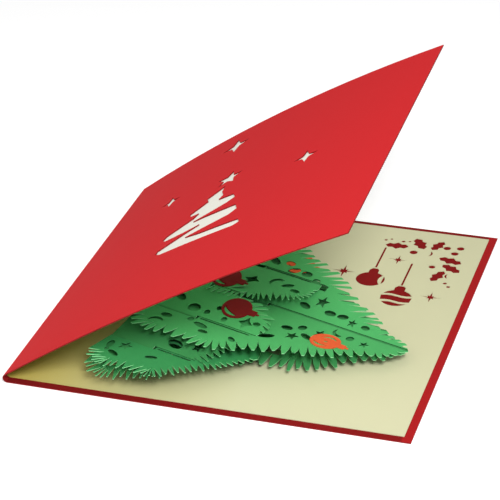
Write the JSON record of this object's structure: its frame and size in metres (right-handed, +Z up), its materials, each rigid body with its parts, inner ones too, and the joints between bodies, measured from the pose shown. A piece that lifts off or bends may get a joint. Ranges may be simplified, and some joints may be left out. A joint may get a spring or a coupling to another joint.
{
  "type": "pop up card",
  "caption": "Folded greeting card, half open, with cut-out cover, cut-out insert and a slotted paper tree with baubles lying between its panels.",
  "frame": {"origin": "middle of the underside of the lower panel", "axes": "+X from the fold to the free edge, +Y from front to back along the fold, +Z up out of the lower panel"},
  "size_m": [0.15, 0.1505, 0.0817],
  "materials": {
    "red_card": "matt",
    "cream_insert": "matt",
    "green_tree": "matt",
    "red_bauble": "satin",
    "orange_bauble": "satin",
    "tie_paper": "matt"
  },
  "bodies": {
    "root": {"outer_card": "red_card", "insert": "cream_insert", "falling_front_sheet": "green_tree", "falling_middle_sheet": "green_tree", "falling_back_sheet": "green_tree", "rising_front_sheet": "green_tree", "rising_middle_sheet": "green_tree", "rising_back_sheet": "green_tree", "red_bauble_front": "red_bauble", "red_bauble_inner": "red_bauble", "red_bauble_back": "red_bauble", "orange_bauble_front": "orange_bauble", "orange_bauble_back": "orange_bauble", "lower_tie": "tie_paper", "upper_tie": "tie_paper"}
  },
  "joints": []
}
